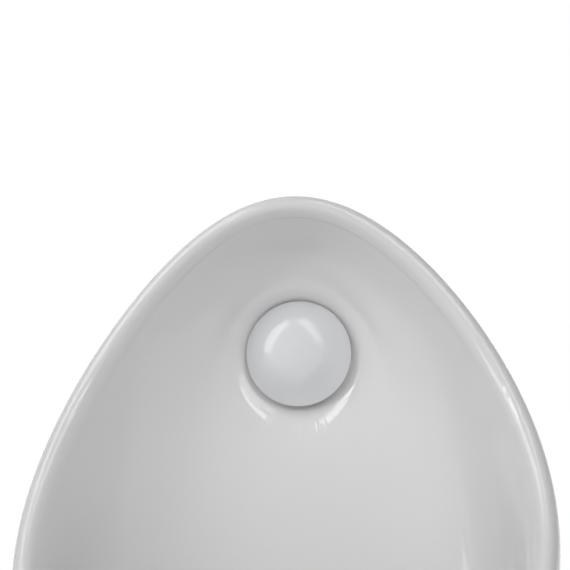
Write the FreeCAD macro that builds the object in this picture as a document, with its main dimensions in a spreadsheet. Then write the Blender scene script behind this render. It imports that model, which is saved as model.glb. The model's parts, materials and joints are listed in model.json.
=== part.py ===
"""Wall hung urinal: glazed china body, rear flush inlet behind a domed spreader, drain with bottle trap,
concealed hangers and side fixings.

Frame: millimetres, +Z up, the wall is the plane Y = 0 and the room is towards -Y.
The origin is where the axis of the waste outlet crosses the wall.
Heights in the table are measured from the lowest edge of the china ("base") and depths from the wall.
"""

import FreeCAD
import Part
import functools
import math
import os
import types

import Sketcher
from FreeCAD import Vector

doc = FreeCAD.newDocument("wall_hung_urinal")

# ---------------------------------------------------------------------------------------------------------
# Driving dimensions
# ---------------------------------------------------------------------------------------------------------

SIZES = [
    # china body, outside
    ("body_height", 620, "lowest edge to the top of the rim"),
    ("body_width", 330, "over the rim, at its widest"),
    ("body_depth", 320, "wall to the front of the lip"),
    ("outlet_height", 125, "waste outlet axis above the base"),
    ("china_wall", 9, "thickness of the china skins"),
    ("rim_radius", 7, "half the thickness of the rolled rim"),
    ("rim_inside", 145, "degrees that the rim rolls round from its outside"),
    ("rim_top_depth", 110, "wall to the front of the rim at its top"),
    ("lip_height", 262, "centre of the rolled rim at the front lip, above the base"),
    ("rim_egg", 0.26, "how much narrower the rim is above its middle than below"),
    ("rim_sweep", 2.0, "how late the rim runs forward on its way down"),
    ("rim_tilt_top", 6, "degrees that the rim looks up at its top"),
    ("rim_tilt_lip", 72, "degrees that the rim looks up at the lip"),
    ("back_width", 290, "outline against the wall, at its widest"),
    ("back_drop", 14, "top of that outline below the top of the rim"),
    ("back_egg", 0.16, "how much narrower that outline is above its middle"),
    # china body, bowl
    ("bowl_back_depth", 70, "wall to the flat of the bowl round the flush inlet"),
    ("inlet_drop", 101, "flush inlet axis below the top of the rim"),
    ("inlet_flat_radius", 34, "flat of the bowl round the inlet"),
    ("inlet_dish", 31, "degrees that the bowl rises from that flat"),
    ("dish_radius", 53, "edge of the dish round the inlet"),
    ("dish_depth", 8.5, "that edge in front of the flat"),
    ("turn_width", 226, "bowl where its sides turn into its back, at the widest"),
    ("turn_top_margin", 36, "that turn below the top of the rim"),
    ("turn_top_depth", 82, "that turn from the wall, at the top"),
    ("sump_height", 175, "lowest place of the bowl above the base"),
    ("drain_depth", 150, "wall to the drain axis"),
    ("hollow_gap", 8, "narrowest hollow between the two skins"),
    ("fit_gap", 0.3, "between round faces that slide or screw together, on the radius"),
    # flush inlet, round an axis square to the wall
    ("inlet_hole_radius", 22.5, "hole in the china"),
    ("seal_thickness", 2, "flat rubber seals"),
    ("spigot_radius", 21, "threaded tail through the china"),
    ("spigot_rear_depth", 30, "wall to the rear end of the tail"),
    ("spigot_front_bore", 17, "radius"),
    ("spigot_step_depth", 60, "wall to the step between its two bores"),
    ("spigot_flange_radius", 28, "flange in the bowl"),
    ("spigot_flange", 3, "its thickness"),
    ("rear_seal_radius", 31, "rubber seal behind the china"),
    ("inlet_nut_radius", 32, "locknut"),
    ("inlet_nut", 11, "its thickness"),
    ("notch_radius", 3.5, "grip notches of the locknut"),
    ("flush_pipe_radius", 16, "flush pipe that the rubber sleeve takes"),
    ("sleeve_wall", 2.4, "thickness"),
    ("sleeve_collar_radius", 22, "collar behind the tail"),
    ("sleeve_collar", 4, "its thickness"),
    ("crown_wall", 2.3, "ring of the spreader insert"),
    ("crown_lip_radius", 20, "its lip on the spigot"),
    ("crown_lip", 2, "thickness of that lip"),
    ("crown_rear_depth", 62, "wall to the rear of the insert"),
    ("hub_radius", 9, "middle of the insert"),
    ("hub_bore", 5, "radius of the push fit"),
    ("hub_front_depth", 79, "wall to the front of the hub"),
    ("spoke_width", 2.4, "four spokes"),
    # domed spreader cap
    ("dome_radius", 35, "edge"),
    ("dome_height", 19, "edge to the crest"),
    ("dome_wall", 2.5, "thickness"),
    ("dome_gap", 4.5, "slot for the water between the edge and the china"),
    ("dome_boss_radius", 8, "socket for the stem"),
    ("stem_radius", 4, "shank"),
    ("stem_flange_radius", 7.5, "shoulder that stops against the hub"),
    ("stem_flange", 2, "its thickness"),
    ("stem_front_depth", 89, "wall to the end in the dome"),
    ("stem_rear_depth", 60, "wall to the end in the hub"),
    ("stem_ring_depth", 70, "wall to the O-ring"),
    ("ring_section", 1, "radius of the O-ring cords"),
    # drain, round an upright axis
    ("seat_height", 169, "flat seat in the bowl above the base"),
    ("seat_radius", 33, "that seat"),
    ("drain_boss_radius", 42, "thick place of the china"),
    ("drain_boss_height", 158, "its underside above the base"),
    ("drain_hole_radius", 25.5, "hole in the china"),
    ("waste_flange_radius", 32, "flange in the bowl"),
    ("waste_flange", 3, "its thickness"),
    ("waste_tail_radius", 24, "threaded tail"),
    ("waste_tail_foot", 138, "its end above the base"),
    ("waste_bore", 22, "radius above the ledge"),
    ("waste_ledge_bore", 20.5, "radius below the ledge"),
    ("waste_ledge_height", 158, "ledge that carries the insert, above the base"),
    ("lower_seal_radius", 33, "rubber seal under the china"),
    ("cup_radius", 34, "trap body"),
    ("cup_wall", 3, "thickness"),
    ("cup_foot", 36, "its underside above the base"),
    ("cup_chamfer", 7, "slope round its foot"),
    ("cup_collar", 16, "height of its threaded collar"),
    ("insert_lip", 6, "height of the lip of the dip tube"),
    ("insert_neck_foot", 142, "end of its sealing neck above the base"),
    ("insert_tube_radius", 19, "dip tube"),
    ("insert_wall", 2.5, "its thickness"),
    ("insert_foot", 52, "its mouth above the base"),
    ("insert_ring_height", 150, "O-ring above the base"),
    ("strainer", 2.5, "thickness"),
    ("strainer_hole_radius", 2.4, "its eight holes"),
    ("strainer_hole_ring", 14, "radius they stand on"),
    ("strainer_knob_radius", 4.5, "finger knob"),
    ("strainer_knob", 5, "its height"),
    # outlet, round the axis through the origin
    ("outlet_pipe_radius", 25, "outside"),
    ("outlet_pipe_wall", 2, "thickness"),
    ("outlet_pipe_out", 55, "past the wall plane"),
    ("outlet_pipe_depth", 108, "wall to its end in the trap"),
    ("outlet_bead_radius", 27, "raised ring that stops at the wall"),
    ("outlet_bead", 3, "its thickness"),
    ("socket_wall", 2, "outlet socket of the trap"),
    ("socket_depth", 75, "wall to the mouth of the socket"),
    ("socket_stop_depth", 110, "wall to the stop in the socket"),
    ("outlet_seal", 4, "thickness of its rubber ring"),
    ("outlet_nut_radius", 33, "coupling nut"),
    ("outlet_nut_grip", 17, "how far it runs over the socket"),
    ("outlet_nut_lip", 4, "thickness of its lip"),
    ("grip_rib", 2.5, "ribs of the coupling nut"),
    # hangers behind the top
    ("hanger_offset", 80, "centre to each bracket"),
    ("bracket_width", 36, "steel strip"),
    ("bracket_steel", 3, "its thickness"),
    ("bracket_foot", 385, "lower end above the base"),
    ("bracket_ledge", 441, "top of the ledge above the base"),
    ("bracket_reach", 21, "wall to the front of the tongue"),
    ("bracket_top", 458, "top of the tongue above the base"),
    ("liner_wall", 2, "plastic liner on the tongue"),
    ("lug_foot", 444, "underside of the china lug above the base"),
    ("lug_wall", 8, "china round the slot"),
    ("hanger_low_height", 398, "lower wall screw above the base"),
    ("hanger_screw_pitch", 24, "to the upper one"),
    ("hanger_screw_radius", 3.8, "shank"),
    ("hanger_screw_grip", 50, "past the wall plane"),
    ("hanger_head_flats", 13, "hexagon"),
    ("hanger_head", 5.5, "its height"),
    ("washer_radius", 9, "outside"),
    ("washer", 2, "thickness"),
    ("plug_wall", 1.9, "wall plugs"),
    ("plug_floor", 3, "closed end"),
    # side fixings near the foot
    ("side_height", 150, "side screws above the base"),
    ("side_depth", 32, "wall to their axis"),
    ("side_pad", 118, "centre to the flat inside of the china"),
    ("side_spot", 130, "centre to the flat outside"),
    ("side_spot_radius", 11.2, "that flat"),
    ("side_boss_radius", 15, "thick place of the china"),
    ("side_hole_radius", 5, "hole in the china"),
    ("angle_width", 30, "steel angle"),
    ("angle_steel", 4, "its thickness"),
    ("angle_wall_leg", 34, "leg along the wall"),
    ("angle_side_leg", 46, "leg along the china"),
    ("angle_hole_offset", 20, "side leg to the wall screw"),
    ("side_screw_radius", 3, "shank of all the small screws"),
    ("side_screw_end", 14, "how far the side screws pass the china"),
    ("side_head_radius", 5.2, "pan head"),
    ("side_head", 3.5, "its height"),
    ("side_wall_grip", 36, "small wall screws past the wall plane"),
    ("bush_wall", 1.3, "plastic bush in the china"),
    ("bush_flange_radius", 8.5, "its flange"),
    ("bush_flange", 1.5, "thickness"),
    ("cap_wall", 1.8, "cover cap"),
    ("cap_height", 7.5, "from the flat of the china"),
]

table = doc.addObject("Spreadsheet::Sheet", "sizes")
for row, (alias, value, note) in enumerate(SIZES, start=1):
    table.set(f"A{row}", alias)
    table.set(f"B{row}", str(value))
    table.setAlias(f"B{row}", alias)
    table.set(f"C{row}", note)
doc.recompute()


def size(alias):
    return float(getattr(table, alias))


# ---------------------------------------------------------------------------------------------------------
# China body: closed rings round the bowl, skinned with one smooth surface
# ---------------------------------------------------------------------------------------------------------

RING_POINTS = 36  # points round each ring
SPLINE_REACH = 14  # neighbours on each side that still matter when a ring is turned into spline poles
DISH_EDGE_SLOPE = 24  # degrees to the wall, below the inlet
CURVE_PARTS = 30  # steps in which a curve is measured
BOWL_SHARES = (0.05, 0.12, 0.2, 0.3, 0.4, 0.5, 0.6, 0.7, 0.79, 0.86, 0.91, 0.95, 0.98, 1.0)
HOLLOW_OUTER_SHARES = (0, 0.15, 0.3, 0.5, 0.7, 0.85, 1.0)
HOLLOW_BOWL_SHARES = (0, 0.1, 0.2, 0.32, 0.45, 0.58, 0.7, 0.8, 0.88, 0.94, 1.0)
SEARCH_PARTS = 50  # places tried along a curve
STEP = 1e-4  # small angle or share for slopes by difference


def egg(angle, egg_share):
    """x and z of an egg of half width 1 and half height 1, its narrow end up. Angle 0 is the top."""
    widest = (1 - math.sqrt(1 + 8 * egg_share**2)) / (4 * egg_share)
    full = math.sqrt(1 - widest**2) * (1 - egg_share * widest)
    return math.sin(angle) * (1 - egg_share * math.cos(angle)) / full, math.cos(angle)


def down(angle):
    """0 at the top of a ring, 1 at its foot."""
    return (1 - math.cos(angle)) / 2


def above_base(height):
    return height - size("outlet_height")


def bezier(points, share):
    while len(points) > 1:
        points = [a + (b - a) * share for a, b in zip(points, points[1:])]
    return points[0]


def back_outline(angle):
    x, z = egg(angle, size("back_egg"))
    high = size("body_height") - size("back_drop")
    return Vector(size("back_width") / 2 * x, 0, above_base(high / 2 + high / 2 * z))


def rim_centre(angle):
    x, z = egg(angle, size("rim_egg"))
    radius = size("rim_radius")
    high = size("body_height") - radius
    low = size("lip_height")
    near = size("rim_top_depth") - radius
    far = size("body_depth") - radius
    return Vector(
        (size("body_width") / 2 - radius) * x,
        -(near + (far - near) * down(angle) ** size("rim_sweep")),
        above_base((high + low) / 2 + (high - low) / 2 * z),
    )


def rim_faces(angle):
    """The way the rim looks: forward at its top and upward at the lip."""
    tilt = size("rim_tilt_top") + (size("rim_tilt_lip") - size("rim_tilt_top")) * down(angle) ** 1.5
    return Vector(0, -math.cos(math.radians(tilt)), math.sin(math.radians(tilt)))


def rim_outward(angle):
    along = rim_centre(angle + STEP) - rim_centre(angle - STEP)
    return rim_faces(angle).cross(along).normalize()


def rim_roll(angle, turn):
    """A point of the rolled rim. turn is 0 on the outside, 90 on the crest and 180 on the inside."""
    turn = math.radians(turn)
    across = rim_outward(angle) * math.cos(turn) + rim_faces(angle) * math.sin(turn)
    return rim_centre(angle) + across * size("rim_radius")


def rim_heading(angle):
    """Way of the china where the rolled rim ends inside: backward and inward."""
    turn = math.radians(size("rim_inside"))
    return rim_faces(angle) * math.cos(turn) - rim_outward(angle) * math.sin(turn)


def outer_skin(angle, share):
    """From the wall (0) to the rim (1)."""
    start = back_outline(angle)
    end = rim_roll(angle, 0)
    reach = -end.y
    fullness = down(angle) ** 2
    leave = start - Vector(0, reach * (0.40 + 0.46 * fullness), 0)
    arrive = end - rim_faces(angle) * reach * (0.40 + 0.25 * fullness)
    return bezier([start, leave, arrive, end], share)


def turn_ring(angle):
    """Where the sides of the bowl turn into its back; at its foot this is the drain."""
    angle = angle - 0.22 * math.sin(angle) * down(angle)
    x, z = egg(angle, size("rim_egg"))
    high = size("body_height") - size("turn_top_margin")
    low = size("sump_height")
    near = size("turn_top_depth")
    return Vector(
        size("turn_width") / 2 * x,
        -(near + (size("drain_depth") - near) * down(angle) ** 1.8),
        above_base((high + low) / 2 + (high - low) / 2 * z),
    )


def sloped(direction, degrees):
    """The direction, which lies flat against the wall, turned back towards the wall by some degrees."""
    slope = math.radians(degrees)
    return direction.normalize() * math.cos(slope) + Vector(0, math.sin(slope), 0)


def turn_heading(angle):
    """Way of the bowl at the turn, seen from the rim: mostly inward, and straight back at the drain."""
    along = turn_ring(angle + STEP) - turn_ring(angle - STEP)
    return sloped(Vector(along.z, 0, -along.x), 26 + 64 * down(angle) ** 6)


def inlet_centre(depth):
    return Vector(0, -depth, above_base(size("body_height") - size("inlet_drop")))


def from_inlet(angle):
    """Direction from the inlet axis to the turn, flat against the wall."""
    across = turn_ring(angle) - inlet_centre(0)
    return Vector(across.x, 0, across.z).normalize()


def dish_edge(angle):
    """Edge of the dish, which is narrower and flatter above the inlet."""
    depth = size("bowl_back_depth") + size("dish_depth") * (0.55 + 0.45 * down(angle))
    return inlet_centre(depth) + from_inlet(angle) * size("dish_radius") * (0.84 + 0.16 * down(angle))


@functools.lru_cache(maxsize=None)
def bowl_curves(angle):
    """Three curves end to end: rim to turn, turn to the edge of the dish, dish to the flat."""
    rim, turn, edge = rim_roll(angle, size("rim_inside")), turn_ring(angle), dish_edge(angle)
    flat = inlet_centre(size("bowl_back_depth")) + from_inlet(angle) * size("inlet_flat_radius")
    to_inlet = -from_inlet(angle)
    edge_slope = DISH_EDGE_SLOPE * (0.4 + 0.6 * down(angle))
    side_reach = (turn - rim).Length
    back_reach = (edge - turn).Length
    dish_reach = (flat - edge).Length
    side = [
        rim,
        rim + rim_heading(angle) * side_reach * (0.30 + 0.12 * down(angle) ** 3),
        turn - turn_heading(angle) * side_reach * 0.36,
        turn,
    ]
    back = [
        turn,
        turn + turn_heading(angle) * 60 * back_reach / (back_reach + 120),
        edge - sloped(to_inlet, edge_slope) * 45 * back_reach / (back_reach + 90),
        edge,
    ]
    dish = [
        edge,
        edge + sloped(to_inlet, edge_slope) * dish_reach * 0.34,
        flat - sloped(to_inlet, size("inlet_dish") * (0.6 + 0.4 * down(angle))) * dish_reach * 0.34,
        flat,
    ]
    return side, back, dish


@functools.lru_cache(maxsize=None)
def bowl_lengths(angle):
    """Places along the three curves with the length run up to each."""
    run = 0
    marks = [(0, 0)]
    for number, curve in enumerate(bowl_curves(angle)):
        for k in range(CURVE_PARTS):
            step = bezier(curve, (k + 1) / CURVE_PARTS) - bezier(curve, k / CURVE_PARTS)
            run += step.Length
            marks.append((run, number + (k + 1) / CURVE_PARTS))
    return marks


def bowl(angle, share):
    """From the rim (0) to the flat round the inlet (1), by length."""
    marks = bowl_lengths(angle)
    wanted = share * marks[-1][0]
    for (low, before), (high, after) in zip(marks, marks[1:]):
        if wanted <= high:
            break
    place = before + (after - before) * (wanted - low) / (high - low)
    number = min(int(place), 2)
    return bezier(bowl_curves(angle)[number], place - number)


def ring(point_at):
    return [point_at(2 * math.pi * k / RING_POINTS) for k in range(RING_POINTS)]


def closed_poles(points):
    """Poles of the closed cubic spline through evenly spaced points."""
    decay = math.sqrt(3) - 2
    weights = {k: math.sqrt(3) * decay ** abs(k) for k in range(-SPLINE_REACH, SPLINE_REACH + 1)}
    count = len(points)
    poles = []
    for place in range(count):
        total = Vector()
        for k, weight in weights.items():
            total = total + points[(place + k) % count] * weight
        poles.append(total)
    return poles


def skin(rings):
    """A closed solid: one smooth surface through the rings, with a flat face on the first and the last."""
    columns = list(zip(*[closed_poles(points) for points in rings]))
    steps = [
        sum((b - a).Length for a, b in zip(low, high)) / RING_POINTS for low, high in zip(rings, rings[1:])
    ]
    places = [sum(steps[:k]) / sum(steps) for k in range(len(rings))]
    net = []
    for column in columns:
        curve = Part.BSplineCurve()
        curve.interpolate(Points=list(column), Parameters=places)
        net.append(curve.getPoles())
    surface = Part.BSplineSurface()
    surface.buildFromPolesMultsKnots(
        net,
        [1] * (RING_POINTS + 1),
        curve.getMultiplicities(),
        [float(k) for k in range(RING_POINTS + 1)],
        curve.getKnots(),
        True,
        False,
        3,
        3,
    )
    side = surface.toShape()
    ends = [Part.Face(Part.Wire(surface.vIso(place).toShape())) for place in (0.0, 1.0)]
    shell = Part.makeShell([side] + ends)
    shell.sewShape()
    solid = Part.makeSolid(shell)
    if solid.Volume < 0:
        solid.reverse()
    return solid


def china_mass():
    rings = [ring(lambda a, s=s: outer_skin(a, s)) for s in (0, 0.12, 0.25, 0.4, 0.55, 0.7, 0.82, 0.92)]
    rings += [ring(lambda a, t=t: rim_roll(a, size("rim_inside") * t)) for t in (0, 0.25, 0.5, 0.75, 1)]
    rings += [ring(lambda a, s=s: bowl(a, s)) for s in BOWL_SHARES]
    return skin(rings)


def inset(path, angle, share):
    """The path's point, moved one skin thickness into the china."""
    around = path(angle + STEP, share) - path(angle - STEP, share)
    low, high = max(share - STEP, 0), min(share + STEP, 1)
    onward = path(angle, high) - path(angle, low)
    return path(angle, share) - onward.cross(around).normalize() * size("china_wall")


def nearest_in_bowl(angle, point):
    """Distance from a point to the bowl along one curve, and the share where it is."""
    spans = [(bowl(angle, k / SEARCH_PARTS) - point).Length ** 2 for k in range(SEARCH_PARTS)]
    k = min(range(1, SEARCH_PARTS - 1), key=spans.__getitem__)
    before, here, after = spans[k - 1 : k + 2]
    share = (k + (before - after) / (2 * (before - 2 * here + after))) / SEARCH_PARTS
    return (bowl(angle, share) - point).Length, share


def hollow_end(angle):
    """Shares of the outer skin and of the bowl between which the hollow closes."""
    room = 2 * size("china_wall") + size("hollow_gap")
    low, high = 0.3, 1
    while high - low > 1e-4:
        middle = (low + high) / 2
        if nearest_in_bowl(angle, outer_skin(angle, middle))[0] > room:
            low = middle
        else:
            high = middle
    return low, nearest_in_bowl(angle, outer_skin(angle, low))[1]


def china_hollow():
    """What is missing behind the skins; it opens through the wall plane."""
    ends = {}

    def between(path, angle, share):
        outer_end, bowl_start = ends.setdefault(angle, hollow_end(angle))
        if path is outer_skin:
            return inset(path, angle, outer_end * share)
        return inset(path, angle, bowl_start + (0.965 - bowl_start) * share)

    def mouth(angle):
        edge = between(outer_skin, angle, 0)
        return Vector(edge.x, 5, edge.z)

    rings = [ring(mouth)]
    rings += [ring(lambda a, s=s: between(outer_skin, a, s)) for s in HOLLOW_OUTER_SHARES]
    rings += [ring(lambda a, s=s: between(bowl, a, s)) for s in HOLLOW_BOWL_SHARES]
    flat = size("inlet_flat_radius") + size("china_wall") * math.tan(math.radians(size("inlet_dish") / 2))
    centre = inlet_centre(size("bowl_back_depth") - size("china_wall"))
    rings += [ring(lambda a: centre + from_inlet(a) * flat)]
    return skin(rings)


def cylinder(radius, height, base, direction):
    return Part.makeCylinder(radius, height, base, direction)


def box(low, high):
    """Box between two corners."""
    return Part.makeBox(high.x - low.x, high.y - low.y, high.z - low.z, low)


def china_thick_places():
    """Solids that stay china where they cross the hollow."""
    up, right = Vector(0, 0, 1), Vector(1, 0, 0)
    foot = Vector(0, -size("drain_depth"), above_base(size("drain_boss_height")))
    places = [cylinder(size("drain_boss_radius"), 2 * size("china_wall"), foot, up)]
    slot = slot_size()
    wall = size("lug_wall")
    top = above_base(size("bracket_top") + size("liner_wall") + wall)
    for side in (1, -1):
        pad = Vector(side * size("side_pad"), -size("side_depth"), above_base(size("side_height")))
        places.append(cylinder(size("side_boss_radius"), size("body_width"), pad, right * side))
        inner = side * (size("hanger_offset") - slot.x / 2 - wall)
        outer = side * size("body_width")
        low = Vector(min(inner, outer), -slot_middle() - slot.y / 2 - wall, above_base(size("lug_foot")))
        high = Vector(max(inner, outer), -slot_middle() + slot.y / 2 + wall, top)
        places.append(box(low, high))
    return places


def slot_middle():
    """Depth of the middle of the hanger tongue."""
    return size("bracket_reach") - size("bracket_steel") / 2


def slot_size():
    """Slot of the china lug that takes the tongue with its liner."""
    thick = size("bracket_steel") + 2 * size("liner_wall") + 4 * size("fit_gap")
    return Vector(size("bracket_width") + 4, thick, size("bracket_top") + size("liner_wall"))


def china_cuts():
    """Holes, seats and slots."""
    up, right, back = Vector(0, 0, 1), Vector(1, 0, 0), Vector(0, 1, 0)
    drain = Vector(0, -size("drain_depth"), above_base(size("seat_height")))
    cuts = [
        cylinder(size("inlet_hole_radius"), size("body_depth"), inlet_centre(size("body_depth")), back),
        cylinder(size("seat_radius"), 30, drain, up),
        cylinder(size("drain_hole_radius"), 60, drain - up * 30, up),
    ]
    slot = slot_size()
    for side in (1, -1):
        axis = Vector(0, -size("side_depth"), above_base(size("side_height")))
        spot = axis + right * side * size("side_spot")
        cuts.append(cylinder(size("side_spot_radius"), 30, spot, right * side))
        pad = axis + right * side * (size("side_pad") - 5)
        cuts.append(cylinder(size("side_hole_radius"), 30, pad, right * side))
        middle = side * size("hanger_offset")
        low = Vector(middle - slot.x / 2, -slot_middle() - slot.y / 2, above_base(size("lug_foot")) - 5)
        high = Vector(middle + slot.x / 2, -slot_middle() + slot.y / 2, above_base(slot.z))
        cuts.append(box(low, high))
    return cuts


def china_shape():
    hollow = china_hollow().cut(Part.makeCompound(china_thick_places()))
    shape = china_mass().cut(hollow)
    shape = shape.cut(Part.makeCompound(china_cuts()))
    return shape.Solids[0] if len(shape.Solids) == 1 else shape


china = doc.addObject("Part::Feature", "china_body")
china.Shape = china_shape()

# ---------------------------------------------------------------------------------------------------------
# Tools for the fitted pieces
# ---------------------------------------------------------------------------------------------------------


class Length:
    """A size that knows its number and the expression on the table that gives it."""

    def __init__(self, number, text):
        self.number = number
        self.text = text

    @staticmethod
    def of(value):
        return value if isinstance(value, Length) else Length(float(value), str(value))

    def joined(self, other, sign, number):
        return Length(number, f"({self.text} {sign} {other.text})")

    def __add__(self, other):
        other = Length.of(other)
        return self.joined(other, "+", self.number + other.number)

    def __sub__(self, other):
        other = Length.of(other)
        return self.joined(other, "-", self.number - other.number)

    def __mul__(self, other):
        other = Length.of(other)
        return self.joined(other, "*", self.number * other.number)

    def __truediv__(self, other):
        other = Length.of(other)
        return self.joined(other, "/", self.number / other.number)

    def __radd__(self, other):
        return Length.of(other) + self

    def __rsub__(self, other):
        return Length.of(other) - self

    def __rmul__(self, other):
        return Length.of(other) * self

    def __neg__(self):
        return 0 - self


s = types.SimpleNamespace(**{alias: Length(size(alias), f"sizes.{alias}") for alias, _, _ in SIZES})


def new_body(label, x=0, y=0, height=0):
    """A body with its local origin at x and y, so far above the base."""
    body = doc.addObject("PartDesign::Body", label)
    body.Label = label
    for axis, value in (("x", x), ("y", y), ("z", height - s.outlet_height)):
        body.setExpression(f"Placement.Base.{axis}", Length.of(value).text)
    return body


def new_sketch(body, plane, start=0):
    """Sketch on an origin plane of the body, moved along the plane's normal."""
    sketch = body.newObject("Sketcher::SketchObject", body.Name + "_sketch")
    origin_plane = [part for part in body.Origin.OriginFeatures if part.Role == plane + "_Plane"][0]
    sketch.AttachmentSupport = (origin_plane, [""])
    sketch.MapMode = "FlatFace"
    sketch.setExpression("AttachmentOffset.Base.z", Length.of(start).text)
    return sketch


def place_point(sketch, line, end, corner):
    for kind, value in zip(("DistanceX", "DistanceY"), corner):
        value = Length.of(value)
        number = sketch.addConstraint(Sketcher.Constraint(kind, -1, 1, line, end, value.number))
        sketch.setExpression(f"Constraints[{number}]", value.text)


def draw_outline(sketch, corners, domed=()):
    """Closed outline through the corners. Sides numbered in domed are arcs centred on the V axis."""
    rough = [Vector(Length.of(x).number, Length.of(y).number, 0) for x, y in corners]
    sides = []
    for number, (start, end) in enumerate(zip(rough, rough[1:] + rough[:1])):
        if number in domed:
            centre_y = (end.y**2 - start.y**2 + end.x**2 - start.x**2) / (2 * (end.y - start.y))
            radius = math.hypot(start.x, start.y - centre_y)
            turns = [math.atan2(point.y - centre_y, point.x) for point in (start, end)]
            circle = Part.Circle(Vector(0, centre_y, 0), Vector(0, 0, 1), radius)
            line = sketch.addGeometry(Part.ArcOfCircle(circle, min(turns), max(turns)))
            sketch.addConstraint(Sketcher.Constraint("PointOnObject", line, 3, -2))
            sides.append((line, 1, 2) if turns[0] < turns[1] else (line, 2, 1))
        else:
            sides.append((sketch.addGeometry(Part.LineSegment(start, end)), 1, 2))
    for (line, _, finish), (following, begin, _) in zip(sides, sides[1:] + sides[:1]):
        sketch.addConstraint(Sketcher.Constraint("Coincident", line, finish, following, begin))
    for (line, begin, _), corner in zip(sides, corners):
        place_point(sketch, line, begin, corner)


def draw_circle(sketch, centre, radius):
    x, y, radius = (Length.of(value) for value in (*centre, radius))
    circle = sketch.addGeometry(Part.Circle(Vector(x.number, y.number, 0), Vector(0, 0, 1), radius.number))
    place_point(sketch, circle, 3, centre)
    number = sketch.addConstraint(Sketcher.Constraint("Radius", circle, radius.number))
    sketch.setExpression(f"Constraints[{number}]", radius.text)


def revolve(body, corners, about="Z", cut=False, domed=()):
    """Turn an outline of (radius, place) about a local axis; about X it is (place, radius)."""
    sketch = new_sketch(body, "XZ" if about == "Z" else "XY")
    draw_outline(sketch, corners, domed)
    feature = body.newObject("PartDesign::Groove" if cut else "PartDesign::Revolution", body.Name + "_turn")
    feature.Profile = sketch
    feature.ReferenceAxis = (sketch, ["H_Axis" if about == "X" else "V_Axis"])
    feature.Angle = 360
    return feature


def extrude(body, plane, drawing, start, length, cut=False):
    """Pad (or pocket) along the plane's normal. drawing is a list of outlines and circles."""
    start, length = Length.of(start), Length.of(length)
    sketch = new_sketch(body, plane, start + length if cut else start)
    for item in drawing:
        if isinstance(item, tuple):
            draw_circle(sketch, *item)
        else:
            draw_outline(sketch, item)
    feature = body.newObject("PartDesign::Pocket" if cut else "PartDesign::Pad", body.Name + "_push")
    feature.Profile = sketch
    feature.setExpression("Length", length.text)
    return feature


def repeat(body, feature, axis, times):
    """The feature again, evenly round an axis of its own sketch."""
    pattern = body.newObject("PartDesign::PolarPattern", body.Name + "_round")
    pattern.Originals = [feature]
    pattern.Axis = (feature.Profile[0], [axis])
    pattern.Angle = 360
    pattern.Occurrences = times
    body.Tip = pattern
    return pattern


def rectangle(x_low, x_high, y_low, y_high):
    return [(x_low, y_low), (x_high, y_low), (x_high, y_high), (x_low, y_high)]


def ring_outline(inner, outer, low, high):
    """Section of a plain ring."""
    return [(inner, low), (outer, low), (outer, high), (inner, high)]


def gather(label, bodies):
    """Alike pieces, still separate solids, as one object."""
    group = doc.addObject("Part::Compound", label)
    group.Label = label
    group.Links = bodies
    return group


# ---------------------------------------------------------------------------------------------------------
# Flush inlet and domed spreader. Local origin: on the inlet axis in the wall plane; room towards -Y.
# ---------------------------------------------------------------------------------------------------------

inlet_height = s.body_height - s.inlet_drop
china_front = -s.bowl_back_depth
china_rear = china_front + s.china_wall
flange_rear = china_front - s.seal_thickness
flange_front = flange_rear - s.spigot_flange
nut_front = china_rear + s.seal_thickness
step = -s.spigot_step_depth
tail_end = -s.spigot_rear_depth
rear_bore = s.flush_pipe_radius + s.sleeve_wall + s.fit_gap

inlet_spigot = new_body("inlet_spigot", height=inlet_height)
revolve(inlet_spigot, [
    (s.spigot_front_bore, flange_front),
    (s.spigot_flange_radius, flange_front),
    (s.spigot_flange_radius, flange_rear),
    (s.spigot_radius, flange_rear),
    (s.spigot_radius, tail_end),
    (rear_bore, tail_end),
    (rear_bore, step),
    (s.spigot_front_bore, step),
], "Y")

inlet_front_seal = new_body("inlet_front_seal", height=inlet_height)
revolve(inlet_front_seal, ring_outline(
    s.spigot_radius + s.fit_gap, s.spigot_flange_radius, flange_rear, china_front), "Y")

inlet_rear_seal = new_body("inlet_rear_seal", height=inlet_height)
revolve(inlet_rear_seal, ring_outline(
    s.spigot_radius + s.fit_gap, s.rear_seal_radius, china_rear, nut_front), "Y")

inlet_locknut = new_body("inlet_locknut", height=inlet_height)
revolve(inlet_locknut, ring_outline(
    s.spigot_radius + s.fit_gap, s.inlet_nut_radius, nut_front, nut_front + s.inlet_nut), "Y")
notch = extrude(inlet_locknut, "XZ", [((s.inlet_nut_radius, 0), s.notch_radius)],
                -(nut_front + s.inlet_nut), s.inlet_nut, cut=True)
repeat(inlet_locknut, notch, "N_Axis", 8)

inlet_sleeve = new_body("inlet_sleeve", height=inlet_height)
revolve(inlet_sleeve, [
    (s.flush_pipe_radius, step),
    (s.flush_pipe_radius + s.sleeve_wall, step),
    (s.flush_pipe_radius + s.sleeve_wall, tail_end),
    (s.sleeve_collar_radius, tail_end),
    (s.sleeve_collar_radius, tail_end + s.sleeve_collar),
    (s.flush_pipe_radius, tail_end + s.sleeve_collar),
], "Y")

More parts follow.
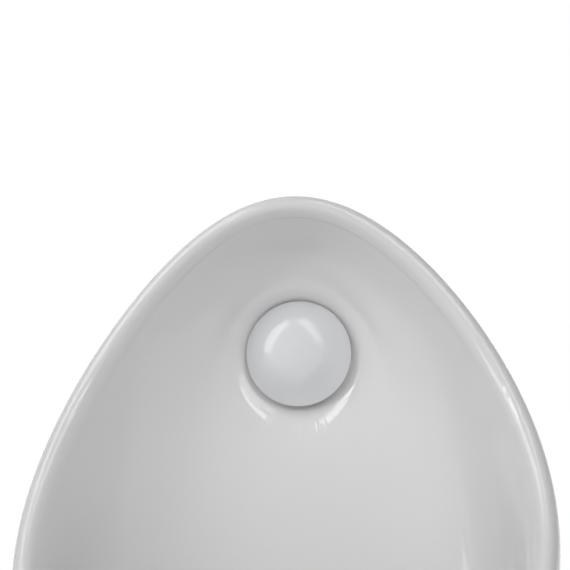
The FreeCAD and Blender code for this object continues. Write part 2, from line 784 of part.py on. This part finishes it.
spreader_insert = new_body("spreader_insert", height=inlet_height)
crown_outer = s.spigot_front_bore - s.fit_gap
crown_inner = crown_outer - s.crown_wall
crown_rear = -s.crown_rear_depth
revolve(spreader_insert, [
    (crown_inner, flange_front - s.crown_lip),
    (s.crown_lip_radius, flange_front - s.crown_lip),
    (s.crown_lip_radius, flange_front),
    (crown_outer, flange_front),
    (crown_outer, crown_rear),
    (crown_inner, crown_rear),
], "Y")
half_spoke = s.spoke_width / 2
spoke_end = crown_inner + s.crown_wall / 2
for spoke in (rectangle(-spoke_end, spoke_end, -half_spoke, half_spoke),
              rectangle(-half_spoke, half_spoke, -spoke_end, spoke_end)):
    extrude(spreader_insert, "XZ", [spoke], -crown_rear, -flange_front + crown_rear)
revolve(spreader_insert, ring_outline(0, s.hub_radius, -s.hub_front_depth, crown_rear), "Y")
extrude(spreader_insert, "XZ", [((0, 0), s.hub_bore)], -crown_rear, s.hub_front_depth + crown_rear, cut=True)

dome_stem = new_body("dome_stem", height=inlet_height)
groove_floor = s.hub_bore - 2 * s.ring_section
groove_front = -s.stem_ring_depth - s.ring_section - s.fit_gap / 2
groove_rear = -s.stem_ring_depth + s.ring_section + s.fit_gap / 2
revolve(dome_stem, [
    (0, -s.stem_front_depth),
    (s.stem_radius, -s.stem_front_depth),
    (s.stem_radius, -s.hub_front_depth - s.stem_flange),
    (s.stem_flange_radius, -s.hub_front_depth - s.stem_flange),
    (s.stem_flange_radius, -s.hub_front_depth),
    (s.stem_radius, -s.hub_front_depth),
    (s.stem_radius, groove_front),
    (groove_floor, groove_front),
    (groove_floor, groove_rear),
    (s.stem_radius, groove_rear),
    (s.stem_radius, -s.stem_rear_depth),
    (0, -s.stem_rear_depth),
], "Y")


def o_ring(label, middle_radius, place, about, y=0, height=0):
    body = new_body(label, y=y, height=height)
    sketch = new_sketch(body, "XZ" if about == "Z" else "XY")
    draw_circle(sketch, (middle_radius, place), s.ring_section)
    feature = body.newObject("PartDesign::Revolution", label + "_turn")
    feature.Profile = sketch
    feature.ReferenceAxis = (sketch, ["V_Axis"])
    feature.Angle = 360
    return body


dome_o_ring = o_ring("dome_o_ring", s.hub_bore - s.ring_section, -s.stem_ring_depth, "Y", height=inlet_height)

spreader_dome = new_body("spreader_dome", height=inlet_height)
dome_edge = china_front - s.dome_gap
dome_crest = dome_edge - s.dome_height
revolve(spreader_dome, [
    (0, dome_crest + s.dome_wall),
    (0, dome_crest),
    (s.dome_radius, dome_edge),
    (s.dome_radius - s.dome_wall, dome_edge),
], "Y", domed=(1, 3))
revolve(spreader_dome, ring_outline(
    0, s.dome_boss_radius, -s.hub_front_depth - s.stem_flange, dome_crest + s.dome_wall / 2), "Y")
revolve(spreader_dome, ring_outline(
    0, s.stem_radius + s.fit_gap, -s.hub_front_depth - s.stem_flange,
    -s.stem_front_depth - s.fit_gap), "Y", cut=True)

# ---------------------------------------------------------------------------------------------------------
# Drain and bottle trap. Local origin: on the upright drain axis at the height of the base.
# ---------------------------------------------------------------------------------------------------------

drain_y = -s.drain_depth
seat = s.seat_height
flange_foot = seat + s.seal_thickness
trap_top = s.drain_boss_height - s.seal_thickness
tail_hole = s.waste_tail_radius + s.fit_gap
cup_inner = s.cup_radius - s.cup_wall

waste_flange = new_body("waste_flange", y=drain_y)
revolve(waste_flange, [
    (s.waste_bore, flange_foot + s.waste_flange),
    (s.waste_flange_radius, flange_foot + s.waste_flange),
    (s.waste_flange_radius, flange_foot),
    (s.waste_tail_radius, flange_foot),
    (s.waste_tail_radius, s.waste_tail_foot),
    (s.waste_ledge_bore, s.waste_tail_foot),
    (s.waste_ledge_bore, s.waste_ledge_height),
    (s.waste_bore, s.waste_ledge_height),
])

waste_flange_seal = new_body("waste_flange_seal", y=drain_y)
revolve(waste_flange_seal, ring_outline(tail_hole, s.waste_flange_radius, seat, flange_foot))

waste_lower_seal = new_body("waste_lower_seal", y=drain_y)
revolve(waste_lower_seal, ring_outline(tail_hole, s.lower_seal_radius, trap_top, s.drain_boss_height))

trap_body = new_body("trap_body", y=drain_y)
socket_bore = s.outlet_pipe_radius + s.fit_gap
socket_radius = socket_bore + s.socket_wall
socket_mouth = s.drain_depth - s.socket_depth
socket_stop = s.drain_depth - s.socket_stop_depth
pipe_bore = s.outlet_pipe_radius - s.outlet_pipe_wall
outlet_centre = (0, s.outlet_height)
revolve(trap_body, [
    (0, s.cup_foot),
    (s.cup_radius - s.cup_chamfer, s.cup_foot),
    (s.cup_radius, s.cup_foot + s.cup_chamfer),
    (s.cup_radius, trap_top),
    (0, trap_top),
])
extrude(trap_body, "XZ", [(outlet_centre, socket_radius)], -socket_mouth, socket_mouth)
revolve(trap_body, [
    (0, s.cup_foot + s.cup_wall),
    (cup_inner - s.cup_chamfer, s.cup_foot + s.cup_wall),
    (cup_inner, s.cup_foot + s.cup_wall + s.cup_chamfer),
    (cup_inner, trap_top - s.cup_wall),
    (tail_hole + s.cup_wall, trap_top - s.cup_wall),
    (tail_hole + s.cup_wall, trap_top - s.cup_collar),
    (tail_hole, trap_top - s.cup_collar),
    (tail_hole, trap_top),
    (0, trap_top),
], cut=True)
extrude(trap_body, "XZ", [(outlet_centre, socket_bore)], -socket_mouth, socket_mouth - socket_stop, cut=True)
extrude(trap_body, "XZ", [(outlet_centre, pipe_bore)], -socket_mouth, socket_mouth - cup_inner / 2, cut=True)

trap_insert = new_body("trap_insert", y=drain_y)
neck = s.waste_ledge_bore - s.fit_gap
neck_bore = s.insert_tube_radius - s.insert_wall
ring_bed = s.waste_ledge_bore - 2 * s.ring_section
bed_top = s.insert_ring_height + s.ring_section + s.fit_gap / 2
bed_foot = s.insert_ring_height - s.ring_section - s.fit_gap / 2
lip_top = s.waste_ledge_height + s.insert_lip
revolve(trap_insert, [
    (neck_bore, lip_top),
    (s.waste_bore - s.fit_gap, lip_top),
    (s.waste_bore - s.fit_gap, s.waste_ledge_height),
    (neck, s.waste_ledge_height),
    (neck, bed_top),
    (ring_bed, bed_top),
    (ring_bed, bed_foot),
    (neck, bed_foot),
    (neck, s.insert_neck_foot),
    (s.insert_tube_radius, s.insert_neck_foot),
    (s.insert_tube_radius, s.insert_foot),
    (neck_bore, s.insert_foot),
])

trap_insert_o_ring = o_ring(
    "trap_insert_o_ring", s.waste_ledge_bore - s.ring_section, s.insert_ring_height, "Z", y=drain_y)

strainer = new_body("strainer", y=drain_y)
revolve(strainer, [
    (0, lip_top),
    (s.waste_bore - 2 * s.fit_gap, lip_top),
    (s.waste_bore - 2 * s.fit_gap, lip_top + s.strainer),
    (s.strainer_knob_radius, lip_top + s.strainer),
    (s.strainer_knob_radius, lip_top + s.strainer + s.strainer_knob),
    (0, lip_top + s.strainer + s.strainer_knob),
])
hole = extrude(strainer, "XY", [((s.strainer_hole_ring, 0), s.strainer_hole_radius)],
               lip_top, s.strainer, cut=True)
repeat(strainer, hole, "N_Axis", 8)

# ---------------------------------------------------------------------------------------------------------
# Outlet. Local origin: where the outlet axis crosses the wall.
# ---------------------------------------------------------------------------------------------------------

outlet_pipe = new_body("outlet_pipe", height=s.outlet_height)
revolve(outlet_pipe, [
    (pipe_bore, -s.outlet_pipe_depth),
    (s.outlet_pipe_radius, -s.outlet_pipe_depth),
    (s.outlet_pipe_radius, -s.outlet_bead),
    (s.outlet_bead_radius, -s.outlet_bead),
    (s.outlet_bead_radius, 0),
    (s.outlet_pipe_radius, 0),
    (s.outlet_pipe_radius, s.outlet_pipe_out),
    (pipe_bore, s.outlet_pipe_out),
], "Y")

outlet_seal = new_body("outlet_seal", height=s.outlet_height)
revolve(outlet_seal, ring_outline(
    socket_bore, socket_radius, -s.socket_depth, -s.socket_depth + s.outlet_seal), "Y")

outlet_nut = new_body("outlet_nut", height=s.outlet_height)
nut_open = -s.socket_depth - s.outlet_nut_grip
lip_start = -s.socket_depth + s.outlet_seal
lip_end = lip_start + s.outlet_nut_lip
revolve(outlet_nut, [
    (socket_radius + s.fit_gap, nut_open),
    (s.outlet_nut_radius, nut_open),
    (s.outlet_nut_radius, lip_end),
    (socket_bore, lip_end),
    (socket_bore, lip_start),
    (socket_radius + s.fit_gap, lip_start),
], "Y")
rib = extrude(outlet_nut, "XZ", [rectangle(
    s.outlet_nut_radius - s.grip_rib / 2, s.outlet_nut_radius + s.grip_rib / 2,
    -s.grip_rib / 2, s.grip_rib / 2)], -lip_end, lip_end - nut_open)
repeat(outlet_nut, rib, "N_Axis", 12)

# ---------------------------------------------------------------------------------------------------------
# Hangers: two hooked steel strips screwed to the wall, each with a liner, in slots of the china.
# Local origin: in the wall plane at the height of the base.
# ---------------------------------------------------------------------------------------------------------

tongue_front = -s.bracket_reach
tongue_rear = tongue_front + s.bracket_steel
ledge_foot = s.bracket_ledge - s.bracket_steel
screw_heights = (s.hanger_low_height, s.hanger_low_height + s.hanger_screw_pitch)
SIDES = (("left", -1), ("right", 1))

for name, side in SIDES:
    bracket = new_body("hanger_bracket_" + name, x=side * s.hanger_offset)
    extrude(bracket, "YZ", [[
        (0, s.bracket_foot),
        (0, s.bracket_ledge),
        (tongue_rear, s.bracket_ledge),
        (tongue_rear, s.bracket_top),
        (tongue_front, s.bracket_top),
        (tongue_front, ledge_foot),
        (-s.bracket_steel, ledge_foot),
        (-s.bracket_steel, s.bracket_foot),
    ]], -s.bracket_width / 2, s.bracket_width)
    extrude(bracket, "XZ", [((0, height), s.hanger_screw_radius + 2 * s.fit_gap) for height in screw_heights],
            0, s.bracket_steel, cut=True)

liners = []
for name, side in SIDES:
    liner = new_body("hook_liner_" + name, x=side * s.hanger_offset)
    inner_front, inner_rear = tongue_front - s.fit_gap, tongue_rear + s.fit_gap
    outer_front, outer_rear = inner_front - s.liner_wall, inner_rear + s.liner_wall
    liner_top = s.bracket_top + s.liner_wall
    extrude(liner, "YZ", [[
        (outer_rear, s.bracket_ledge),
        (outer_rear, liner_top),
        (outer_front, liner_top),
        (outer_front, s.bracket_ledge),
        (inner_front, s.bracket_ledge),
        (inner_front, s.bracket_top),
        (inner_rear, s.bracket_top),
        (inner_rear, s.bracket_ledge),
    ]], -s.bracket_width / 2, s.bracket_width)
    liners.append(liner)
gather("hanger_liners", liners)


def hexagon(flats):
    """Outline of a hexagon round the local origin, two corners on its X axis."""
    corner = flats / math.sqrt(3)
    half = flats / 2
    return [
        (corner, 0),
        (corner / 2, half),
        (-corner / 2, half),
        (-corner, 0),
        (-corner / 2, -half),
        (corner / 2, -half),
    ]


hanger_places = [(name + level, side * s.hanger_offset, height)
                 for name, side in SIDES for level, height in zip(("_low", "_high"), screw_heights)]
washer_rear = -s.bracket_steel
head_rear = washer_rear - s.washer
plug_bore = s.hanger_screw_radius + s.fit_gap

screws, washers, plugs = [], [], []
for name, x, height in hanger_places:
    screw = new_body("hanger_screw_" + name, x=x, height=height)
    extrude(screw, "XZ", [hexagon(s.hanger_head_flats)], -head_rear, s.hanger_head)
    revolve(screw, ring_outline(0, s.hanger_screw_radius, head_rear - 1, s.hanger_screw_grip), "Y")
    screws.append(screw)
    washer = new_body("hanger_washer_" + name, x=x, height=height)
    revolve(washer, ring_outline(plug_bore, s.washer_radius, head_rear, washer_rear), "Y")
    washers.append(washer)
    plug = new_body("hanger_plug_" + name, x=x, height=height)
    plug_radius = plug_bore + s.plug_wall
    plug_end = s.hanger_screw_grip + s.plug_floor
    revolve(plug, [
        (plug_bore, 0),
        (plug_radius, 0),
        (plug_radius, plug_end),
        (0, plug_end),
        (0, s.hanger_screw_grip + s.fit_gap),
        (plug_bore, s.hanger_screw_grip + s.fit_gap),
    ], "Y")
    plugs.append(plug)
gather("hanger_screws", screws)
gather("hanger_washers", washers)
gather("hanger_wall_plugs", plugs)

# ---------------------------------------------------------------------------------------------------------
# Side fixings: steel angles on the wall, screws through the china from both sides, under cover caps.
# Local origin: in the wall plane, at the height of the screws.
# ---------------------------------------------------------------------------------------------------------

small_hole = s.side_screw_radius + s.fit_gap
half_angle = s.angle_width / 2
bush_radius = small_hole + s.bush_wall
head_seat = s.side_spot + s.bush_flange
cap_bore = s.bush_flange_radius + s.fit_gap

angle_screws, angle_plugs, side_screws, bushes = [], [], [], []
for name, side in SIDES:
    angle = new_body("side_angle_" + name, height=s.side_height)
    extrude(angle, "XY", [[
        (side * s.side_pad, 0),
        (side * s.side_pad, -s.angle_side_leg),
        (side * (s.side_pad - s.angle_steel), -s.angle_side_leg),
        (side * (s.side_pad - s.angle_steel), -s.angle_steel),
        (side * (s.side_pad - s.angle_wall_leg), -s.angle_steel),
        (side * (s.side_pad - s.angle_wall_leg), 0),
    ]], -half_angle, s.angle_width)
    wall_screw_x = side * (s.side_pad - s.angle_hole_offset)
    extrude(angle, "XZ", [((wall_screw_x, 0), small_hole)], 0, s.angle_steel, cut=True)
    low = side * (s.side_pad - s.angle_steel / 2) - s.angle_steel / 2
    extrude(angle, "YZ", [((-s.side_depth, 0), small_hole)], low, s.angle_steel, cut=True)

    screw = new_body("side_angle_screw_" + name, x=wall_screw_x, height=s.side_height)
    revolve(screw, [
        (0, -s.angle_steel - s.side_head),
        (s.side_head_radius, -s.angle_steel - s.side_head),
        (s.side_head_radius, -s.angle_steel),
        (s.side_screw_radius, -s.angle_steel),
        (s.side_screw_radius, s.side_wall_grip),
        (0, s.side_wall_grip),
    ], "Y")
    angle_screws.append(screw)

    plug = new_body("side_angle_plug_" + name, x=wall_screw_x, height=s.side_height)
    revolve(plug, [
        (small_hole, 0),
        (small_hole + s.plug_wall, 0),
        (small_hole + s.plug_wall, s.side_wall_grip + s.plug_floor),
        (0, s.side_wall_grip + s.plug_floor),
        (0, s.side_wall_grip + s.fit_gap),
        (small_hole, s.side_wall_grip + s.fit_gap),
    ], "Y")
    angle_plugs.append(plug)

    screw = new_body("side_screw_" + name, y=-s.side_depth, height=s.side_height)
    revolve(screw, [
        (side * (s.side_pad - s.side_screw_end), 0),
        (side * (s.side_pad - s.side_screw_end), s.side_screw_radius),
        (side * head_seat, s.side_screw_radius),
        (side * head_seat, s.side_head_radius),
        (side * (head_seat + s.side_head), s.side_head_radius),
        (side * (head_seat + s.side_head), 0),
    ], "X")
    side_screws.append(screw)

    bush = new_body("side_bush_" + name, y=-s.side_depth, height=s.side_height)
    revolve(bush, [
        (side * s.side_pad, small_hole),
        (side * s.side_pad, bush_radius),
        (side * s.side_spot, bush_radius),
        (side * s.side_spot, s.bush_flange_radius),
        (side * head_seat, s.bush_flange_radius),
        (side * head_seat, small_hole),
    ], "X")
    bushes.append(bush)

    cap = new_body("side_cap_" + name, y=-s.side_depth, height=s.side_height)
    cap_top = s.side_spot + s.cap_height
    revolve(cap, [
        (side * s.side_spot, cap_bore),
        (side * s.side_spot, cap_bore + s.cap_wall),
        (side * (cap_top - s.cap_wall), cap_bore + s.cap_wall),
        (side * cap_top, cap_bore - s.cap_wall / 2),
        (side * cap_top, 0),
        (side * (cap_top - s.cap_wall), 0),
        (side * (cap_top - s.cap_wall), cap_bore),
    ], "X")
gather("side_angle_screws", angle_screws)
gather("side_angle_plugs", angle_plugs)
gather("side_screws", side_screws)
gather("side_bushes", bushes)

# ---------------------------------------------------------------------------------------------------------
# Pieces to files
# ---------------------------------------------------------------------------------------------------------

NODES = (
    "china_body",
    "spreader_dome",
    "dome_stem",
    "dome_o_ring",
    "spreader_insert",
    "inlet_spigot",
    "inlet_front_seal",
    "inlet_rear_seal",
    "inlet_locknut",
    "inlet_sleeve",
    "waste_flange",
    "waste_flange_seal",
    "waste_lower_seal",
    "strainer",
    "trap_insert",
    "trap_insert_o_ring",
    "trap_body",
    "outlet_nut",
    "outlet_seal",
    "outlet_pipe",
    "hanger_bracket_left",
    "hanger_bracket_right",
    "hanger_liners",
    "hanger_screws",
    "hanger_washers",
    "hanger_wall_plugs",
    "side_angle_left",
    "side_angle_right",
    "side_angle_screws",
    "side_angle_plugs",
    "side_screws",
    "side_bushes",
    "side_cap_left",
    "side_cap_right",
)

doc.recompute()
for thing in doc.Objects:
    if "Invalid" in thing.State or "Error" in thing.State:
        raise RuntimeError(f"{thing.Label} did not build: {thing.State}")

os.makedirs("parts", exist_ok=True)
for name in NODES:
    shape = doc.getObject(name).Shape
    if shape.isNull() or not shape.isValid():
        raise RuntimeError(f"{name} has no sound shape")
    shape.exportStep(f"parts/{name}.step")
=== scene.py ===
"""Looks of the wall hung urinal: procedural finishes, soft studio light, plain floor and camera.

Frame: metres, +Z up, wall plane Y = 0, room towards -Y, origin on the waste outlet axis.
"""

import json
import math

import bpy
from mathutils import Matrix, Vector

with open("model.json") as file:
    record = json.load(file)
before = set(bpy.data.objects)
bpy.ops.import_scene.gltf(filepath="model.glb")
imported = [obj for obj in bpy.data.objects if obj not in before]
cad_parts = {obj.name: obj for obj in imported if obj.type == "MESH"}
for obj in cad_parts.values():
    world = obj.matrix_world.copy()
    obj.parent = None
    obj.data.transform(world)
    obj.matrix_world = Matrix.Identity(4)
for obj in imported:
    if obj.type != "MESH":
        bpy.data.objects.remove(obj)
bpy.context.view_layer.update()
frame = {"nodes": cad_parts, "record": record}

# ---------------------------------------------------------------------------
# Finishes
# ---------------------------------------------------------------------------

GLOSS_FINENESS = 2.3  # how much smaller the patches of uneven gloss are than those of colour


def finish(name, colour, roughness, metallic=0.0, mottle=0.02, mottle_scale=30.0,
           grain=0.0, grain_scale=400.0, grain_stretch=(1, 1, 1), wear=0.04):
    """Node material: slightly uneven colour, uneven gloss and a fine surface grain."""
    material = bpy.data.materials.new(name)
    material.use_nodes = True
    nodes, links = material.node_tree.nodes, material.node_tree.links
    shader = nodes["Principled BSDF"]
    shader.inputs["Metallic"].default_value = metallic
    place = nodes.new("ShaderNodeTexCoord")

    def noise(scale, detail, stretch=(1, 1, 1)):
        mapping = nodes.new("ShaderNodeMapping")
        mapping.inputs["Scale"].default_value = stretch
        texture = nodes.new("ShaderNodeTexNoise")
        texture.inputs["Scale"].default_value = scale
        texture.inputs["Detail"].default_value = detail
        links.new(place.outputs["Object"], mapping.inputs["Vector"])
        links.new(mapping.outputs["Vector"], texture.inputs["Vector"])
        return texture.outputs["Fac"]

    shades = nodes.new("ShaderNodeMix")
    shades.data_type = "RGBA"
    shades.inputs["A"].default_value = (*[c * (1 - mottle) for c in colour], 1)
    shades.inputs["B"].default_value = (*[min(1, c * (1 + mottle)) for c in colour], 1)
    links.new(noise(mottle_scale, detail=3.0), shades.inputs["Factor"])
    links.new(shades.outputs["Result"], shader.inputs["Base Color"])

    gloss = nodes.new("ShaderNodeMapRange")
    gloss.inputs["To Min"].default_value = max(0.0, roughness - wear / 2)
    gloss.inputs["To Max"].default_value = roughness + wear / 2
    links.new(noise(mottle_scale * GLOSS_FINENESS, detail=4.0), gloss.inputs["Value"])
    links.new(gloss.outputs["Result"], shader.inputs["Roughness"])

    if grain:
        bump = nodes.new("ShaderNodeBump")
        bump.inputs["Strength"].default_value = 1.0
        bump.inputs["Distance"].default_value = grain
        links.new(noise(grain_scale, detail=2.0, stretch=grain_stretch), bump.inputs["Height"])
        links.new(bump.outputs["Normal"], shader.inputs["Normal"])
    return material


FINISHES = {
    "china": finish("china_glaze", (0.735, 0.735, 0.735), 0.07, mottle=0.006, mottle_scale=9,
                    grain=0.00002, grain_scale=55, wear=0.02),
    "white_plastic": finish("white_plastic", (0.755, 0.760, 0.775), 0.11, mottle=0.006,
                            grain=0.00001, grain_scale=300),
    "insert_plastic": finish("insert_plastic", (0.11, 0.115, 0.125), 0.45, grain=0.00003),
    "trap_plastic": finish("trap_plastic", (0.70, 0.70, 0.69), 0.42, grain=0.00003),
    "pipe_plastic": finish("pipe_plastic", (0.30, 0.31, 0.33), 0.40, grain=0.00004,
                           grain_stretch=(1, 0.05, 1)),
    "nut_plastic": finish("nut_plastic", (0.025, 0.025, 0.028), 0.42, grain=0.00003),
    "plug_plastic": finish("plug_plastic", (0.17, 0.19, 0.21), 0.50, grain=0.00003),
    "black_rubber": finish("black_rubber", (0.018, 0.018, 0.018), 0.75, mottle=0.15, grain=0.00004),
    "chrome_plate": finish("chrome_plate", (0.76, 0.77, 0.78), 0.08, metallic=1.0),
    "brass_tail": finish("brass_tail", (0.66, 0.50, 0.25), 0.28, metallic=1.0, mottle=0.05,
                         grain=0.00002, grain_stretch=(1, 12, 1)),
    "zinc_steel": finish("zinc_steel", (0.52, 0.53, 0.55), 0.38, metallic=1.0, mottle=0.10,
                         mottle_scale=60, grain=0.00002, wear=0.14),
    "screw_steel": finish("screw_steel", (0.58, 0.57, 0.54), 0.30, metallic=1.0, mottle=0.08,
                          grain=0.00001, wear=0.10),
}

slot_of = {part["node"]: part["material_slot"] for part in frame["record"]["subparts"]}
for node, piece in frame["nodes"].items():
    piece.data.materials.clear()
    piece.data.materials.append(FINISHES[slot_of[node]])

# ---------------------------------------------------------------------------
# Floor and background
# ---------------------------------------------------------------------------

FLOOR_HEIGHT = -0.485  # the lip then hangs 0.62 m above the floor
FLOOR_RADIUS = 2.2
FLOOR_GLOW = 0.26  # added where the floor is seen, so that it looks pale away from the lamps
WORLD_FILL = 0.08  # light that the world gives the object
WORLD_SEEN = 1.0  # white, where the world is seen
WHITE = (1, 1, 1, 1)


def seen_rays(nodes, links):
    """Socket that is 1 for a ray that sees, straight or by a mirror or glass, and 0 for light."""
    path = nodes.new("ShaderNodeLightPath")
    direct = nodes.new("ShaderNodeMath")
    direct.operation = "MAXIMUM"
    links.new(path.outputs["Is Camera Ray"], direct.inputs[0])
    links.new(path.outputs["Is Transmission Ray"], direct.inputs[1])
    seen = nodes.new("ShaderNodeMath")
    seen.operation = "MAXIMUM"
    links.new(direct.outputs[0], seen.inputs[0])
    links.new(path.outputs["Is Glossy Ray"], seen.inputs[1])
    return seen.outputs[0]


def background(nodes, strength):
    """Socket of a white background of this strength."""
    shader = nodes.new("ShaderNodeBackground")
    shader.inputs["Color"].default_value = WHITE
    shader.inputs["Strength"].default_value = strength
    return shader.outputs[0]


bpy.ops.mesh.primitive_circle_add(vertices=128, radius=FLOOR_RADIUS, fill_type="NGON",
                                  location=(0, 0, FLOOR_HEIGHT))
floor = bpy.context.object
floor.name = "floor"
floor_paint = finish("floor_paint", (0.80, 0.80, 0.80), 0.6, mottle=0.01, mottle_scale=3)
floor.data.materials.append(floor_paint)
nodes, links = floor_paint.node_tree.nodes, floor_paint.node_tree.links
glow = nodes.new("ShaderNodeMath")
glow.operation = "MULTIPLY"
glow.inputs[1].default_value = FLOOR_GLOW
links.new(seen_rays(nodes, links), glow.inputs[0])
nodes["Principled BSDF"].inputs["Emission Color"].default_value = WHITE
links.new(glow.outputs[0], nodes["Principled BSDF"].inputs["Emission Strength"])

world = bpy.data.worlds.new("studio")
bpy.context.scene.world = world
world.use_nodes = True
nodes, links = world.node_tree.nodes, world.node_tree.links
nodes.clear()
mix = nodes.new("ShaderNodeMixShader")
output = nodes.new("ShaderNodeOutputWorld")
links.new(seen_rays(nodes, links), mix.inputs[0])
links.new(background(nodes, WORLD_FILL), mix.inputs[1])
links.new(background(nodes, WORLD_SEEN), mix.inputs[2])
links.new(mix.outputs[0], output.inputs["Surface"])

# ---------------------------------------------------------------------------
# Lamps
# ---------------------------------------------------------------------------

CAP_MIDDLE = Vector((0, -0.09, 0.394))  # the lamps stand round the domed cap
CAP = [frame["nodes"]["spreader_dome"]]
CHINA = [frame["nodes"]["china_body"]]
WHOLE_OBJECT = frame["nodes"].values()


def soft_box(name, top, foot, distance, width, power, mirrored=True, only=None):
    """Long lamp. top and foot are the directions of its two ends, seen from the cap.

    A lamp that isn't mirrored makes no highlights. One with pieces in only lights nothing else.
    """
    top, foot = Vector(top).normalized(), Vector(foot).normalized()
    away = (top + foot).normalized()
    along = (top - foot).normalized()
    across = along.cross(away)
    lamp = bpy.data.lights.new(name, "AREA")
    lamp.shape = "RECTANGLE"
    lamp.size = width
    lamp.size_y = 2 * distance * math.tan(top.angle(foot) / 2)
    lamp.energy = power
    lamp_object = bpy.data.objects.new(name, lamp)
    bpy.context.collection.objects.link(lamp_object)
    turned = Matrix((across, along, away)).transposed().to_4x4()
    lamp_object.matrix_world = Matrix.Translation(CAP_MIDDLE + away * distance) @ turned
    lamp_object.visible_camera = False
    lamp_object.visible_glossy = mirrored
    if only:
        reached = bpy.data.collections.new(name + "_pieces")
        for piece in only:
            reached.objects.link(piece)
        lamp_object.light_linking.receiver_collection = reached


# Two long boxes, which the cap mirrors as its two highlights.
soft_box("left_box", top=(-0.37, -0.36, 0.97), foot=(-0.91, -0.47, 0.10),
         distance=1.6, width=0.62, power=10.5)
soft_box("right_box", top=(0.04, -0.42, 1.00), foot=(0.63, -0.70, 0.36),
         distance=1.6, width=0.46, power=5.5)

# Light from the front, stronger on the cap.
front = {"top": (0.12, -0.98, 0.10), "foot": (0.12, -0.94, -0.30), "distance": 2.4, "width": 1.4}
soft_box("front_fill", **front, power=1.5, mirrored=False)
soft_box("cap_fill", **front, power=9.5, mirrored=False, only=CAP)

# Light from low in front. It would leave a bright patch on the floor, so it leaves the floor out.
soft_box("low_fill", top=(0.10, -0.95, -0.20), foot=(0.10, -0.72, -0.66),
         distance=1.15, width=0.8, power=4.2, mirrored=False, only=WHOLE_OBJECT)

# Two narrow strips, which the glaze mirrors as the highlights below the cap.
soft_box("right_strip", top=(0.46, -0.80, 0.40), foot=(0.14, -0.73, 0.68),
         distance=1.6, width=0.16, power=1.8, only=CHINA)
soft_box("left_strip", top=(-0.69, -0.54, 0.48), foot=(-0.28, -0.68, 0.68),
         distance=1.6, width=0.20, power=2.6, only=CHINA)

# Even light on the back and the sides, which the front lamps don't reach.
soft_box("back_fill", top=(0, 0.90, 0.40), foot=(0, 0.90, -0.55),
         distance=2.4, width=1.8, power=34, mirrored=False)
for side in (-1, 1):
    soft_box("side_fill", top=(side * 0.75, 0.65, 0.35), foot=(side * 0.75, 0.65, -0.35),
             distance=2.0, width=0.8, power=11, mirrored=False)

# ---------------------------------------------------------------------------
# Camera
# ---------------------------------------------------------------------------

PHOTO_SIZE = 570  # pixels
FOCAL = 2039  # pixels
SENSOR_WIDTH = 36  # millimetres
CAMERA_PLACE = (0.145, -1.414, 0.253)
VIEW_LEFT, VIEW_UP, VIEW_TILT = 6.52, 7.91, 1.27  # degrees from looking straight at the wall

camera = bpy.data.cameras.new("camera")
camera.sensor_width = SENSOR_WIDTH
camera.lens = FOCAL / PHOTO_SIZE * SENSOR_WIDTH
camera_object = bpy.data.objects.new("camera", camera)
bpy.context.collection.objects.link(camera_object)
turn = Matrix.Rotation(math.radians(VIEW_LEFT), 4, "Z")
lift = Matrix.Rotation(math.radians(90 + VIEW_UP), 4, "X")
tilt = Matrix.Rotation(math.radians(-VIEW_TILT), 4, "Z")
camera_object.matrix_world = Matrix.Translation(CAMERA_PLACE) @ turn @ lift @ tilt
bpy.context.scene.camera = camera_object

bpy.context.scene.view_settings.view_transform = "Standard"
